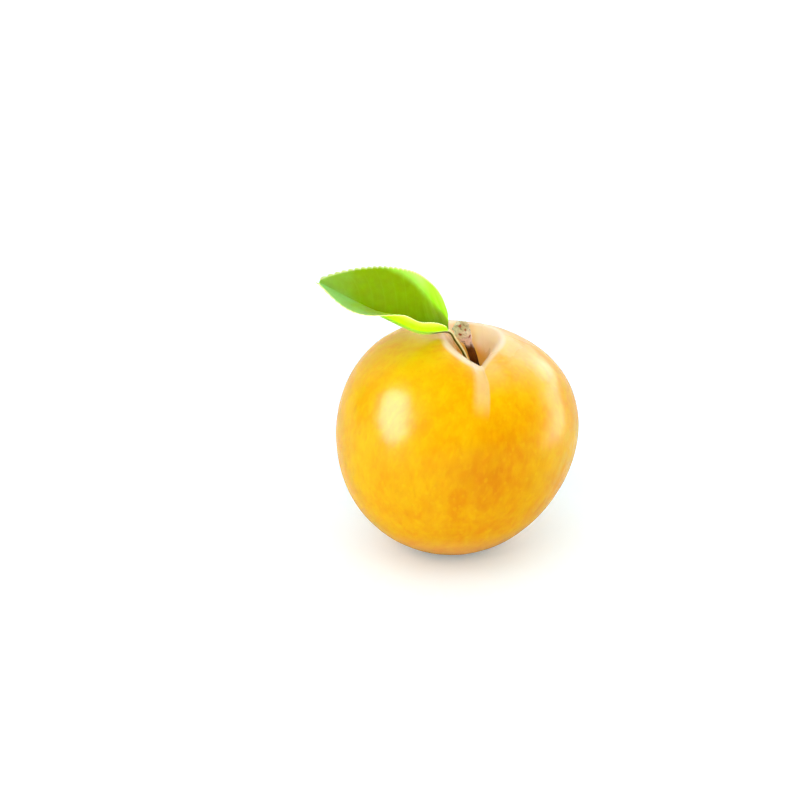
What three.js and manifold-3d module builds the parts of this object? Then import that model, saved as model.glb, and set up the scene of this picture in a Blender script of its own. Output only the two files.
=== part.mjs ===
// A ripe yellow plum, as picked, with its short woody stalk and one leaf.
// Millimetres, +Z up. The origin is the middle of the small flat spot that the plum rests on.
// The leaf points along -X, and the plum's crease faces -Y.
import * as THREE from "three";
import { mergeVertices } from "three/addons/utils/BufferGeometryUtils.js";
import Module from "manifold-3d";

const wasm = await Module();
wasm.setup();

const { degToRad, lerp, smoothstep } = THREE.MathUtils;

// The fruit: a round body, described by its radius in each direction from its middle.
const fruitRadius = 27.1;
const restingHeight = 27.4; // the middle above the surface, a little less than the fruit reaches down
const leanRight = degToRad(13); // how far the fruit's own axis leans towards +X
const leanBack = degToRad(5); // and towards +Y
const taper = 0.045; // share of the radius by which the body is flat above and drawn out below
const squareness = 0.019; // share of the radius by which it is fuller between the ends and the waist
const ovalShare = 0.03; // share by which the cross-section is longer one way than the other
const ovalTurn = degToRad(29);
const skewShare = 0.02; // share by which one shoulder stands higher than the other
const skewTurn = degToRad(-29);
const fruitColumns = 72;
const fruitRings = 42;

// The cavity that the stalk stands in, and the blossom end opposite it.
const cavityDepth = 10;
const cavityWide = 4.4; // across, and
const cavityLong = 7.1; // from front to back
const cavitySteepness = 1.25; // 1 gives a rounded mouth, more gives a sharper one with steeper walls
const cavityMouth = new THREE.Vector2(-2.3, 0.2); // the middle of the mouth, from the fruit's axis
const cavitySlant = new THREE.Vector2(3.2, 0.6); // how far the floor's middle lies from below the mouth's
const blossomDepth = 0.5;
const blossomWidth = 2.2;

// The crease runs down one side from the cavity, in a soft valley that is wider on its left.
const creaseTurn = degToRad(-82.3);
const creaseAside = 0.5; // the plane of the crease passes this far beside the fruit's axis
const creaseBend = 1.5; // how far the crease bends to the left at the cavity
const creaseDepth = 1.5;
const creaseLeft = 2.6; // its left bank is broad and gentle, its right bank steep
const creaseRight = 1.0;
const creaseRounding = 0.35;
const valleyDepth = 1.8;
const valleyLeft = 7;
const valleyRight = 3;

// The woody stalk, from its foot on the cavity's floor to its head, measured from the fruit's middle.
const stalkRoute = [
  [4.5, 1.7, 15.9], [3.5, 1.3, 20.0], [2.4, 0.9, 23.0], [1.3, 0.4, 25.6], [0.6, 0.1, 27.5],
];
const stalkRadius = 0.88;
const headRadius = 1.74;
const headRoughness = 0.09; // share of the radius by which the head's scales stand in and out
const stalkSides = 16;
const stalkSteps = 22;

// The leaf: its own thin stalk out of the cavity, then the midrib, which the blade is folded along.
const leafStalkRoute = [[2.75, 0, 17.6], [1.3, -0.6, 21.2], [-0.25, -1.35, 24.0]];
const midribRoute = [
  [-1.6, -2.0, 26.7], [-7.8, -5.2, 27.9], [-14.6, -5.8, 31.1], [-22.2, -4.6, 34.7], [-31.0, -3.0, 38.9],
];
const bladeStart = 0.012; // the blade's ends, as shares of the midrib's length
const bladeEnd = 0.985;
const leafStalkRadius = 0.5;
const midribTipRadius = 0.3;
const midribSink = 0.35; // how far the midrib's own middle lies below the fold of the blade
const bladeHalfWidth = 11.7;
const bladeThickness = 0.64;
const farFold = [64, 56]; // degrees that the half away from the front rises, at the base and at the tip
const nearFold = [31, -4]; // and the half towards the front
const farBulge = 0.3; // share of the half width that sets how far a half is domed
const nearBulge = 0.1;
const baseSweep = 0.42; // how far the margin runs ahead of the midrib at the base
const tipSweep = -0.02;
const toothCount = 30; // teeth on each margin
const toothDepth = 0.25;
const toothLean = 0.7; // where a tooth's point is between its neighbours' notches, nearer the tip
const bladeColumns = 6; // squares across each half
const leafStalkSides = 8;
const leafStalkSteps = 42;

// Turns [x, y, z] lists into a smooth curve through them.
function smoothCurve(route) {
  return new THREE.CatmullRomCurve3(route.map((point) => new THREE.Vector3(...point)));
}

// Drops everything but the positions and joins the corners that lie at the same place.
function sealed(geometry) {
  geometry.deleteAttribute("normal");
  geometry.deleteAttribute("uv");
  return mergeVertices(geometry, 1e-4);
}

function namedMesh(name, geometry, color, roughness) {
  geometry.computeVertexNormals();
  const mesh = new THREE.Mesh(geometry, new THREE.MeshStandardMaterial({ color, roughness, metalness: 0 }));
  mesh.name = name;
  return mesh;
}

// How much of the crease is left at an angle from the stalk end: it starts in the cavity, is deepest on the
// shoulder, fades by fadeEnd and keeps only a trace down to the blossom end.
function creaseShare(angle, fadeStart, fadeEnd, trace) {
  const degrees = THREE.MathUtils.radToDeg(angle);
  const start = smoothstep(degrees, 0, 22);
  const end = 1 - smoothstep(degrees, 145, 165);
  return start * end * lerp(1, trace, smoothstep(degrees, fadeStart, fadeEnd));
}

// The fruit's surface, upright: angle is measured from the stalk end, turn goes round the axis.
function fruitPoint(angle, turn) {
  const up = Math.cos(angle);
  const out = Math.sin(angle);
  let radius = fruitRadius * (
    1
    - taper * (2.5 * up ** 3 - 1.5 * up)
    - squareness * (35 * up ** 4 - 30 * up ** 2 + 3) / 8
    + ovalShare * out ** 2 * Math.cos(2 * (turn - ovalTurn))
    + skewShare * out ** 2 * up * Math.cos(turn - skewTurn)
  );

  const bent = creaseBend * (1 - smoothstep(THREE.MathUtils.radToDeg(angle), 18, 42));
  const across = radius * out * Math.sin(turn - creaseTurn) - creaseAside + bent;
  const facing = Math.sqrt(Math.max(Math.cos(turn - creaseTurn), 0));
  const rounded = Math.hypot(across, creaseRounding) - creaseRounding;
  const crease = Math.exp(-rounded / (across < 0 ? creaseLeft : creaseRight));
  const valley = Math.exp(-((across / (across < 0 ? valleyLeft : valleyRight)) ** 2));
  radius -= facing * creaseDepth * crease * creaseShare(angle, 30, 64, 0.07);
  radius -= facing * valleyDepth * valley * creaseShare(angle, 24, 72, 0.04);

  const point = new THREE.Vector3(radius * out * Math.cos(turn), radius * out * Math.sin(turn), radius * up);
  if (up > 0) {
    const acrossMouth = (point.x - cavityMouth.x) / cavityWide;
    const alongMouth = (point.y - cavityMouth.y) / cavityLong;
    const dent = Math.exp(-((acrossMouth ** 2 + alongMouth ** 2) ** cavitySteepness));
    point.add(new THREE.Vector3(cavitySlant.x, cavitySlant.y, -cavityDepth).multiplyScalar(dent));
  } else {
    const fromBlossomEnd = Math.hypot(point.x, point.y);
    point.z += blossomDepth * Math.exp(-((fromBlossomEnd / blossomWidth) ** 2));
  }
  return point;
}

// The turn from the upright fruit to the way it lies.
function fruitLean() {
  const axis = new THREE.Vector3(Math.sin(leanRight), Math.sin(leanBack), 0);
  axis.z = Math.sqrt(1 - axis.lengthSq());
  return new THREE.Quaternion().setFromUnitVectors(new THREE.Vector3(0, 0, 1), axis);
}

// A sphere's grid, with rings closer together at the cavity and columns closer together at the crease,
// moved onto the fruit's surface, leaned, and pressed flat where it would go below the surface it lies on.
function makeFruit() {
  const sphere = new THREE.SphereGeometry(1, fruitColumns, fruitRings).rotateX(Math.PI / 2);
  const place = sphere.attributes.position;
  const lean = fruitLean();
  for (let i = 0; i < place.count; i++) {
    const ring = Math.acos(THREE.MathUtils.clamp(place.getZ(i), -1, 1)) / Math.PI;
    const angle = Math.PI * lerp(ring ** 1.6, ring, 0.45);
    const column = Math.atan2(place.getY(i), place.getX(i));
    const turn = creaseTurn + column - 0.5 * Math.sin(column);
    const point = fruitPoint(angle, turn).applyQuaternion(lean);
    point.z = Math.max(point.z + restingHeight, 0);
    place.setXYZ(i, point.x, point.y, point.z);
  }
  return sealed(sphere);
}

// A closed rod along a curve. radiusAt takes the share of the length; ruffle changes it round the rod.
function rodAlong(curve, sides, steps, radiusAt, ruffle = () => 0) {
  const profile = [new THREE.Vector2(0, 0)];
  for (let i = 0; i <= steps; i++) profile.push(new THREE.Vector2(radiusAt(i / steps), i / steps));
  profile.push(new THREE.Vector2(0, 1));
  const rod = new THREE.LatheGeometry(profile, sides);
  const frames = curve.computeFrenetFrames(steps, false);
  const place = rod.attributes.position;
  for (let k = 0; k < place.count; k++) {
    const share = place.getY(k);
    const step = Math.round(share * steps);
    const swell = 1 + ruffle(share, Math.atan2(place.getZ(k), place.getX(k)));
    const point = curve.getPointAt(share)
      .addScaledVector(frames.normals[step], place.getX(k) * swell)
      .addScaledVector(frames.binormals[step], -place.getZ(k) * swell);
    place.setXYZ(k, point.x, point.y, point.z);
  }
  return sealed(rod);
}

// The stalk is slim up to its neck, then swells to a knobby, scaly head with a worn top.
function makeStalk() {
  const headShare = (share) => smoothstep(share, 0.5, 0.84);
  const radiusAt = (share) => {
    const worn = 1 - 0.45 * smoothstep(share, 0.88, 1) ** 2;
    return lerp(stalkRadius, headRadius, headShare(share)) * worn;
  };
  const ruffle = (share, turn) => {
    const scales = Math.sin(3 * turn + 20 * share) + 0.7 * Math.sin(5 * turn - 31 * share);
    return headRoughness * headShare(share) * scales;
  };
  return rodAlong(smoothCurve(stalkRoute), stalkSides, stalkSteps, radiusAt, ruffle);
}

// The directions that the blade is laid out in: along its length, away from the front, and up.
function bladeAxes() {
  const base = new THREE.Vector3(...midribRoute[0]);
  const along = new THREE.Vector3(...midribRoute.at(-1)).sub(base).normalize();
  const away = new THREE.Vector3(0, 1, 0).projectOnPlane(along).normalize();
  const up = new THREE.Vector3().crossVectors(along, away).normalize();
  if (up.z < 0) up.negate();
  return { along, away, up };
}

// The direction at an angle from away towards up.
function rising(axes, angle) {
  return axes.away.clone().multiplyScalar(Math.cos(angle)).addScaledVector(axes.up, Math.sin(angle));
}

// The blade's fold at a share of its length: the two halves' angles in the plane of away and up.
function foldAngles(share) {
  const far = lerp(...farFold, smoothstep(share, 0.3, 1));
  const near = 180 - lerp(...nearFold, smoothstep(share, 0.45, 0.9));
  return [degToRad(far), degToRad(near)];
}

function halfWidth(share) {
  return bladeHalfWidth * Math.sin(Math.PI * share ** 0.75) ** (0.5 + 0.3 * share ** 2);
}

// A place on the blade's middle surface. side goes from -1 at the near margin to 1 at the far one.
function bladePoint(axes, midrib, share, side, tooth) {
  const [far, near] = foldAngles(share);
  const angle = side > 0 ? far : near;
  const outward = rising(axes, angle);
  const upperFace = rising(axes, angle + (side > 0 ? Math.PI : -Math.PI) / 2);
  const width = halfWidth(share);
  const reach = Math.abs(side);
  const sweep = lerp(baseSweep, tipSweep, smoothstep(share, 0, 0.55));
  const bulge = (side > 0 ? farBulge : nearBulge) * width * (reach - reach ** 2);
  return midrib.getPoint(share)
    .addScaledVector(outward, reach * width + tooth)
    .addScaledVector(axes.along, sweep * reach * width + tooth)
    .addScaledVector(upperFace, bulge);
}

// The blade as a thin sheet of squares. Both faces are split into the same triangles, and the lower face is
// the upper one moved straight across, so they can't meet.
function makeBlade(axes, midrib) {
  const rows = [];
  for (let tooth = 0; tooth < toothCount; tooth++) {
    rows.push({ share: lerp(bladeStart, bladeEnd, tooth / toothCount), tooth: 0 });
    rows.push({ share: lerp(bladeStart, bladeEnd, (tooth + toothLean) / toothCount), tooth: toothDepth });
  }
  rows.push({ share: bladeEnd, tooth: 0 });

  const columns = 2 * bladeColumns + 1;
  const corners = { upper: [], lower: [] };
  for (const { share, tooth } of rows) {
    const [far, near] = foldAngles(share);
    const across = rising(axes, (far + near) / 2);
    across.multiplyScalar(bladeThickness / Math.sin((near - far) / 2) / 2);
    for (let column = 0; column < columns; column++) {
      const side = (column - bladeColumns) / bladeColumns;
      const point = bladePoint(axes, midrib, share, side, Math.abs(side) === 1 ? tooth : 0);
      corners.upper.push(point.clone().add(across));
      corners.lower.push(point.sub(across));
    }
  }

  const triangles = [];
  const lowerStart = corners.upper.length;
  const at = (row, column) => row * columns + column;
  const addSquare = (a, b, c, d) => triangles.push(a, b, c, a, c, d);
  const addWall = (a, b) => addSquare(b, b + lowerStart, a + lowerStart, a);
  const lastRow = rows.length - 1;
  const lastColumn = columns - 1;
  for (let row = 0; row < lastRow; row++) {
    for (let column = 0; column < lastColumn; column++) {
      const square = [at(row, column), at(row, column + 1), at(row + 1, column + 1), at(row + 1, column)];
      addSquare(...square);
      const [a, b, c, d] = square.map((corner) => corner + lowerStart);
      triangles.push(a, c, b, a, d, c);
    }
    addWall(at(row, 0), at(row + 1, 0));
    addWall(at(row + 1, lastColumn), at(row, lastColumn));
  }
  for (let column = 0; column < lastColumn; column++) {
    addWall(at(0, column + 1), at(0, column));
    addWall(at(lastRow, column), at(lastRow, column + 1));
  }

  const blade = new THREE.BufferGeometry();
  blade.setFromPoints([...corners.upper, ...corners.lower]);
  blade.setIndex(triangles);
  return blade;
}

// The leaf's stalk and midrib in one tapering rod, which runs under the fold of the blade.
function makeMidrib(axes) {
  const [far, near] = foldAngles(0);
  const below = rising(axes, (far + near) / 2).multiplyScalar(-midribSink);
  const underBlade = midribRoute.map((point) => new THREE.Vector3(...point).add(below).toArray());
  const radiusAt = (share) => lerp(leafStalkRadius, midribTipRadius, smoothstep(share, 0.2, 1));
  const route = smoothCurve([...leafStalkRoute, ...underBlade]);
  return rodAlong(route, leafStalkSides, leafStalkSteps, radiusAt);
}

function asManifold(geometry) {
  return new wasm.Manifold(new wasm.Mesh({
    numProp: 3,
    vertProperties: geometry.attributes.position.array,
    triVerts: new Uint32Array(geometry.index.array),
  }));
}

function makeLeaf() {
  const axes = bladeAxes();
  const blade = asManifold(makeBlade(axes, smoothCurve(midribRoute)));
  const midrib = asManifold(makeMidrib(axes));
  const joined = blade.add(midrib).getMesh();
  const leaf = new THREE.BufferGeometry();
  leaf.setAttribute("position", new THREE.BufferAttribute(joined.vertProperties, 3));
  leaf.setIndex(new THREE.BufferAttribute(joined.triVerts, 1));
  return leaf;
}

const plum = new THREE.Group();
plum.add(namedMesh("fruit", makeFruit(), "#fbbe20", 0.35));

// The stalk and the leaf are measured from the fruit's middle.
const onTop = new THREE.Group();
onTop.position.z = restingHeight;
onTop.add(namedMesh("stalk", makeStalk(), "#b98a5e", 0.8));
onTop.add(namedMesh("leaf", makeLeaf(), "#86b414", 0.5));
plum.add(onTop);

export default plum;
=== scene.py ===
# A ripe yellow plum with its short woody stalk and one folded leaf.
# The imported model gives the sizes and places; this script gives the three pieces their looks.
import math

import bpy
import numpy as np
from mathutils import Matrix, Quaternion, Vector


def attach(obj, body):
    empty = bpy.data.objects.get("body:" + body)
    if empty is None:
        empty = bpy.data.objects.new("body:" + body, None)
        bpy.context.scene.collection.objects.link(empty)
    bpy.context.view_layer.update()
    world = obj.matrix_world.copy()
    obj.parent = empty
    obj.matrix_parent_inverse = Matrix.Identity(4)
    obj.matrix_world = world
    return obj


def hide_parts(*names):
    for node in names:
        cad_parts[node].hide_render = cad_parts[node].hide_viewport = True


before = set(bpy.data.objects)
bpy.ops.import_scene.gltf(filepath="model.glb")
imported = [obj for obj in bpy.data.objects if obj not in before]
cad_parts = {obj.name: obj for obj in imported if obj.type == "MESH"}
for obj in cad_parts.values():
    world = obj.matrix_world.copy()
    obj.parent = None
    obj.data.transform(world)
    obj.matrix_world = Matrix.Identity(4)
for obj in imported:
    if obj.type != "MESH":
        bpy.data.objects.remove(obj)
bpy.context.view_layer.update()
scene = bpy.context.scene
mm = 0.001
restingHeight = 27.4 * mm  # the fruit's middle above the surface
print("frame loaded")


# The camera looks a little down on the side with the crease.
photoView = {
    "frame": 800,  # pixels on each side of the photograph
    "middleAt": (455.5, 434.5),  # the pixel where the fruit's middle shows
    "focalLength": 2904,  # in pixels
    "elevation": 25,
    "distance": 660 * mm,
    "sensor": 36,
}


def makeCamera(view):
    data = bpy.data.cameras.new("photoCamera")
    data.sensor_width = view["sensor"]
    data.lens = view["sensor"] * view["focalLength"] / view["frame"]
    camera = bpy.data.objects.new("photoCamera", data)
    scene.collection.objects.link(camera)
    tilt = math.radians(view["elevation"])
    right = Vector((1, 0, 0))
    up = Vector((0, math.sin(tilt), math.cos(tilt)))
    back = Vector((0, -math.cos(tilt), math.sin(tilt)))
    metresPerPixel = view["distance"] / view["focalLength"]
    acrossPixels = view["middleAt"][0] - view["frame"] / 2
    downPixels = view["middleAt"][1] - view["frame"] / 2
    camera.location = Vector((0, 0, restingHeight)) + back * view["distance"]
    camera.location += (up * downPixels - right * acrossPixels) * metresPerPixel
    camera.rotation_euler = (math.pi / 2 - tilt, 0, 0)
    scene.camera = camera


makeCamera(photoView)


# Node helpers, for the meshes and the materials alike.

def feed(tree, slot, value):
    if isinstance(value, Field):
        tree.links.new(value.socket, slot)
    elif isinstance(value, bpy.types.NodeSocket):
        tree.links.new(value, slot)
    else:
        slot.default_value = value


def addNode(tree, kind, inputs=None, **settings):
    node = tree.nodes.new(kind)
    for name, value in settings.items():
        setattr(node, name, value)
    for name, value in (inputs or {}).items():
        feed(tree, node.inputs[name], value)
    return node


class Field:
    # a number that changes over a mesh, so that a formula made of nodes reads like a written one
    def __init__(self, tree, socket):
        self.tree = tree
        self.socket = socket

    def calc(self, operation, *values):
        node = addNode(self.tree, "ShaderNodeMath", dict(enumerate(values)), operation=operation)
        return Field(self.tree, node.outputs[0])

    def __add__(self, other):
        return self.calc("ADD", self, other)

    def __radd__(self, other):
        return self.calc("ADD", other, self)

    def __sub__(self, other):
        return self.calc("SUBTRACT", self, other)

    def __rsub__(self, other):
        return self.calc("SUBTRACT", other, self)

    def __mul__(self, other):
        return self.calc("MULTIPLY", self, other)

    def __rmul__(self, other):
        return self.calc("MULTIPLY", other, self)

    def __truediv__(self, other):
        return self.calc("DIVIDE", self, other)

    def __pow__(self, other):
        return self.calc("POWER", self, other)

    def __neg__(self):
        return self.calc("MULTIPLY", self, -1)

    def sin(self):
        return self.calc("SINE", self)

    def cos(self):
        return self.calc("COSINE", self)

    def exp(self):
        return self.calc("EXPONENT", self)

    def sqrt(self):
        return self.calc("SQRT", self)

    def squared(self):
        return self.calc("MULTIPLY", self, self)

    def arccos(self):
        return self.calc("ARCCOSINE", self)

    def arctan2(self, other):
        return self.calc("ARCTAN2", self, other)

    def absolute(self):
        return self.calc("ABSOLUTE", self)

    def above(self, other):
        return self.calc("GREATER_THAN", self, other)

    def below(self, other):
        return self.calc("LESS_THAN", self, other)

    def atLeast(self, other):
        return self.calc("MAXIMUM", self, other)

    def atMost(self, other):
        return self.calc("MINIMUM", self, other)

    def smooth(self, start, end, low=0.0, high=1.0):
        # low before start and high after end, with a soft passage between them
        inputs = {"Value": self, "From Min": start, "From Max": end, "To Min": low, "To Max": high}
        node = addNode(self.tree, "ShaderNodeMapRange", inputs, interpolation_type="SMOOTHSTEP")
        return Field(self.tree, node.outputs["Result"])


def joinXyz(tree, x, y, z):
    return addNode(tree, "ShaderNodeCombineXYZ", {"X": x, "Y": y, "Z": z}).outputs[0]


def splitXyz(tree, vector):
    node = addNode(tree, "ShaderNodeSeparateXYZ", {0: vector})
    return [Field(tree, socket) for socket in node.outputs]


def moved(tree, vector, operation, other):
    # vector arithmetic, such as "ADD", "SCALE" or "MULTIPLY"
    slot = "Scale" if operation == "SCALE" else 1
    return addNode(tree, "ShaderNodeVectorMath", {0: vector, slot: other}, operation=operation).outputs[0]


def noiseOver(tree, vector, scale, detail=2.0, roughness=0.5, distortion=0.0):
    inputs = {"Vector": vector, "Scale": scale, "Detail": detail, "Roughness": roughness,
              "Distortion": distortion}
    return Field(tree, addNode(tree, "ShaderNodeTexNoise", inputs).outputs[0])


def startShapeTree(name, sizes):
    # a Geometry Nodes tree with one named input for each size
    tree = bpy.data.node_groups.new(name, "GeometryNodeTree")
    tree.interface.new_socket("Geometry", in_out="INPUT", socket_type="NodeSocketGeometry")
    for key, value in sizes.items():
        kind = "NodeSocketInt" if isinstance(value, int) else "NodeSocketFloat"
        tree.interface.new_socket(key, in_out="INPUT", socket_type=kind)
    tree.interface.new_socket("Geometry", in_out="OUTPUT", socket_type="NodeSocketGeometry")
    inlet = tree.nodes.new("NodeGroupInput")
    return tree, inlet.outputs["Geometry"], {key: Field(tree, inlet.outputs[key]) for key in sizes}


def storeOn(tree, geometry, name, value, kind="FLOAT"):
    inputs = {"Geometry": geometry, "Name": name, "Value": value}
    return addNode(tree, "GeometryNodeStoreNamedAttribute", inputs, data_type=kind).outputs[0]


def endShapeTree(tree, geometry, material):
    smooth = addNode(tree, "GeometryNodeSetShadeSmooth", {"Geometry": geometry}).outputs[0]
    real = addNode(tree, "GeometryNodeRealizeInstances", {"Geometry": smooth}).outputs[0]
    dressed = addNode(tree, "GeometryNodeSetMaterial", {"Geometry": real, "Material": material}).outputs[0]
    outlet = tree.nodes.new("NodeGroupOutput")
    tree.links.new(dressed, outlet.inputs["Geometry"])


def growPiece(name, tree, sizes, startMesh):
    # runs the tree on a start mesh and keeps the result as a plain mesh
    source = bpy.data.objects.new(name + "Source", startMesh)
    scene.collection.objects.link(source)
    modifier = source.modifiers.new("grow", "NODES")
    modifier.node_group = tree
    for item in tree.interface.items_tree:
        if item.in_out == "INPUT" and item.name in sizes:
            modifier[item.identifier] = sizes[item.name]
    graph = bpy.context.evaluated_depsgraph_get()
    mesh = bpy.data.meshes.new_from_object(source.evaluated_get(graph), depsgraph=graph)
    bpy.data.objects.remove(source)
    piece = bpy.data.objects.new(name, mesh)
    scene.collection.objects.link(piece)
    print(name, len(mesh.polygons), "faces")
    return piece


def routeMesh(name, points):
    # a line of edges, for a tree that makes a curve of it
    mesh = bpy.data.meshes.new(name)
    edges = [(k, k + 1) for k in range(len(points) - 1)]
    mesh.from_pydata([tuple(point) for point in points], edges, [])
    return mesh


def smoothRoute(points, shares):
    # places on a smooth curve through the points, at shares of the way from the first to the last
    points = np.array(points, float)
    shares = np.atleast_1d(shares)
    ends = np.vstack([2 * points[0] - points[1], points, 2 * points[-1] - points[-2]])
    gaps = np.linalg.norm(np.diff(ends, axis=0), axis=1) ** 0.5
    place = np.clip(shares, 0, 1) * (len(points) - 1)
    step = np.minimum(place.astype(int), len(points) - 2)
    before, start, end, after = (ends[step + k] for k in range(4))
    gapBefore, gap, gapAfter = (gaps[step + k][:, None] for k in range(3))
    middle = (end - start) / gap
    startSlope = ((start - before) / gapBefore - (end - before) / (gapBefore + gap) + middle) * gap
    endSlope = (middle - (after - start) / (gap + gapAfter) + (after - end) / gapAfter) * gap
    t = (place - step)[:, None]
    bend = 3 * (end - start) - 2 * startSlope - endSlope
    twist = 2 * (start - end) + startSlope + endSlope
    return start + startSlope * t + bend * t**2 + twist * t**3


# Material helpers.

def rgb(red, green, blue):
    # a colour given as on the screen, 0 to 255, made linear
    def linear(value):
        share = value / 255
        return share / 12.92 if share <= 0.04045 else ((share + 0.055) / 1.055) ** 2.4
    return (linear(red), linear(green), linear(blue), 1)


def startMaterial(name, **settings):
    material = bpy.data.materials.new(name)
    material.use_nodes = True
    tree = material.node_tree
    shader = tree.nodes["Principled BSDF"]
    for key, value in settings.items():
        shader.inputs[key].default_value = value
    return material, tree, shader


def attributeOf(tree, name):
    return addNode(tree, "ShaderNodeAttribute", attribute_name=name)


def numberOf(tree, name):
    return Field(tree, attributeOf(tree, name).outputs["Fac"])


def blended(tree, mask, first, second):
    node = addNode(tree, "ShaderNodeMix", {0: mask, 6: first, 7: second}, data_type="RGBA")
    return node.outputs[2]


def startEffect(name, inputs, outputs):
    # a shader group for an effect that more than one material uses
    tree = bpy.data.node_groups.new(name, "ShaderNodeTree")
    for key, kind in inputs.items():
        tree.interface.new_socket(key, in_out="INPUT", socket_type=kind)
    for key, kind in outputs.items():
        tree.interface.new_socket(key, in_out="OUTPUT", socket_type=kind)
    return tree, tree.nodes.new("NodeGroupInput"), tree.nodes.new("NodeGroupOutput")


def makeMottleEffect():
    # soft uneven patches with finer ones in them; Fullness is the share that they cover
    inputs = {"Vector": "NodeSocketVector", "Scale": "NodeSocketFloat", "Fullness": "NodeSocketFloat",
              "Softness": "NodeSocketFloat"}
    tree, inlet, outlet = startEffect("mottle", inputs, {"Mask": "NodeSocketFloat"})
    fullness = Field(tree, inlet.outputs["Fullness"])
    softness = Field(tree, inlet.outputs["Softness"])
    patches = noiseOver(tree, inlet.outputs["Vector"], inlet.outputs["Scale"], 3, 0.55, 0.4)
    edge = 0.64 - 0.28 * fullness
    mask = patches.smooth(edge - softness * 0.5, edge + softness * 0.5)
    feed(tree, outlet.inputs["Mask"], mask)
    return tree


def makeSpeckEffect():
    # separate small round specks, at uneven places and of uneven size
    inputs = {"Vector": "NodeSocketVector", "Scale": "NodeSocketFloat", "Size": "NodeSocketFloat",
              "Fullness": "NodeSocketFloat"}
    tree, inlet, outlet = startEffect("specks", inputs, {"Mask": "NodeSocketFloat"})
    cells = addNode(tree, "ShaderNodeTexVoronoi", {key: inlet.outputs[key] for key in ("Vector", "Scale")})
    distance = Field(tree, cells.outputs["Distance"])
    draw = splitXyz(tree, cells.outputs["Color"])[0]
    size = Field(tree, inlet.outputs["Size"]) * (0.5 + draw)
    chosen = draw.below(inlet.outputs["Fullness"])
    feed(tree, outlet.inputs["Mask"], distance.smooth(size * 0.45, size, 1.0, 0.0) * chosen)
    return tree


mottleEffect = makeMottleEffect()
speckEffect = makeSpeckEffect()


def maskFrom(tree, effect, **inputs):
    node = addNode(tree, "ShaderNodeGroup", node_tree=effect)
    for key, value in inputs.items():
        feed(tree, node.inputs[key], value)
    return Field(tree, node.outputs["Mask"])


def mottleOver(tree, vector, scale, fullness, softness):
    return maskFrom(tree, mottleEffect, Vector=vector, Scale=scale, Fullness=fullness, Softness=softness)


def specksOver(tree, vector, scale, size, fullness):
    return maskFrom(tree, speckEffect, Vector=vector, Scale=scale, Size=size, Fullness=fullness)


def addBump(tree, shader, height, distance, strength=1.0):
    bump = addNode(tree, "ShaderNodeBump", {"Height": height, "Distance": distance, "Strength": strength})
    tree.links.new(bump.outputs["Normal"], shader.inputs["Normal"])


# The fruit: its surface is one formula, in the direction from its middle.
plumShape = {
    "segments": 400,
    "rings": 236,
    "radius": 27.1 * mm,
    "restingHeight": restingHeight,
    "leanRight": math.radians(13),
    "leanBack": math.radians(5),
    "taper": 0.045,  # share of the radius by which it is flat above and drawn out below
    "squareness": 0.019,
    "ovalShare": 0.03,
    "ovalTurn": math.radians(29),
    "skewShare": 0.02,
    "skewTurn": math.radians(-29),
    "cavityDepth": 10 * mm,
    "cavitySteepness": 1.25,
    "cavityWide": 4.4 * mm,
    "cavityLong": 7.1 * mm,
    "mouthRight": -2.3 * mm,  # the middle of the cavity's mouth, from the fruit's axis
    "mouthBack": 0.2 * mm,
    "slantRight": 3.2 * mm,  # how far the cavity's floor lies from below the mouth
    "slantBack": 0.6 * mm,
    "blossomDepth": 0.5 * mm,
    "blossomWidth": 2.2 * mm,
    "creaseTurn": math.radians(-82.3),
    "creaseAside": 0.5 * mm,
    "creaseBend": 1.5 * mm,  # how far it bends to the left at the cavity
    "creaseDepth": 1.5 * mm,
    "creaseLeft": 2.6 * mm,  # its left bank is broad and gentle,
    "creaseRight": 1.0 * mm,  # and its right bank steep
    "creaseRounding": 0.35 * mm,
    "valleyDepth": 1.8 * mm,
    "valleyLeft": 7 * mm,
    "valleyRight": 3 * mm,
    "unevenness": 0.09 * mm,  # low swells of the skin
    "unevenScale": 4.5,
}

skinLook = {
    "yellow": rgb(253, 179, 2),
    "orange": rgb(228, 137, 0),
    "pale": rgb(255, 212, 8),
    "fleck": rgb(255, 216, 30),
    "paintedFloorBounce": rgb(252, 196, 116),
    "cream": rgb(253, 226, 172),
    "paintedLipHighlight": rgb(252, 227, 188),
    "cavityGold": rgb(238, 176, 80),
    "cavityFloorShade": rgb(96, 62, 10),
    "blossom": rgb(206, 152, 84),
    "roughness": 0.23,
    "waxRoughness": 0.36,
    "orangeSide": 0.25,  # where the deeper orange is, across the front
    "orangeWidth": 0.43,
    "cloudScale": 1.7,
    "patchScale": 3.4,
    "blotScale": 12.0,
    "fleckScale": 16.0,
    "streakScale": 26.0,
    "waxScale": 2.6,
    "grainScale": 60.0,
    "poreScale": 62.0,
    "poreDepth": 0.05 * mm,
    "paintedBounceFrom": 13 * mm,  # height above the surface at which the painted floor light begins
    "paintedBounceFull": 1 * mm,
}


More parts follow.
